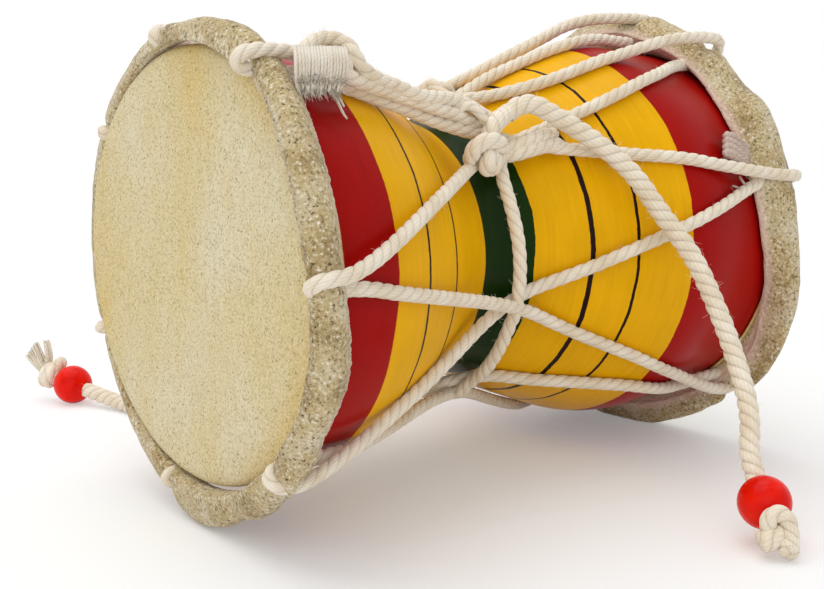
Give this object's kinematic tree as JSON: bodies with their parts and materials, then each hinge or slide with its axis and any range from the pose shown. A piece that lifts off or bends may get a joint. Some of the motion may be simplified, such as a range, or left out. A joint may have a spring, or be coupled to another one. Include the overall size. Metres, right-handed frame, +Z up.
{
  "type": "hourglass hand drum",
  "caption": "Laced hourglass hand drum with two hide heads in folded collars and two rope strikers with beads, lying on its side.",
  "frame": {"origin": "on the resting surface, below the middle of the drum's overall box (strikers left out)", "axes": "+X along the drum's axis from the small head to the large head, +Z up, -Y towards the side with the front striker"},
  "size_m": [0.2038, 0.3046, 0.1447],
  "materials": {
    "painted_wood": "glossy lacquer in red, yellow and green bands with thin black rings",
    "head_hide": "dried translucent hide, mottled, satin",
    "collar_hide": "rough split hide, speckled, matte",
    "hoop_wire": "plain drawn wire",
    "cotton_rope": "three-strand undyed cotton, slightly fuzzy",
    "bead_plastic": "moulded, glossy orange-red with a faint seam"
  },
  "bodies": {
    "drum": {"shell": "painted_wood", "head_skin_left": "head_hide", "head_skin_right": "head_hide", "hoop_left": "hoop_wire", "hoop_right": "hoop_wire", "collar_left": "collar_hide", "collar_right": "collar_hide", "lacing_cord": "cotton_rope", "waist_binding": "cotton_rope", "lacing_return": "cotton_rope", "lacing_end_knot": "cotton_rope", "lacing_tassel": "cotton_rope", "lacing_tail": "cotton_rope", "waist_knot_front": "cotton_rope", "waist_knot_back": "cotton_rope"},
    "striker_front": {"striker_cord_front": "cotton_rope", "end_knot_front": "cotton_rope"},
    "bead_front": {"bead_front": "bead_plastic"},
    "striker_back": {"striker_cord_back": "cotton_rope", "end_knot_back": "cotton_rope", "striker_tassel_back": "cotton_rope"},
    "bead_back": {"bead_back": "bead_plastic"}
  },
  "joints": [
    {"name": "front_striker_lift", "type": "hinge", "parent": "drum", "child": "striker_front", "pos_m": [-0.00705, -0.03465, 0.11399], "axis": [-1, 0, 0], "range_deg": [0, 50]},
    {"name": "front_bead_slide", "type": "slide", "parent": "striker_front", "child": "bead_front", "axis": [0.3799, 0.7438, 0.5499], "range_m": [0, 0.008]},
    {"name": "back_striker_lift", "type": "hinge", "parent": "drum", "child": "striker_back", "pos_m": [-0.00975, 0.04175, 0.03767], "axis": [1, 0, 0], "range_deg": [0, 45]},
    {"name": "back_bead_slide", "type": "slide", "parent": "striker_back", "child": "bead_back", "axis": [0.4111, -0.8824, -0.2287], "range_m": [0, 0.005]}
  ]
}
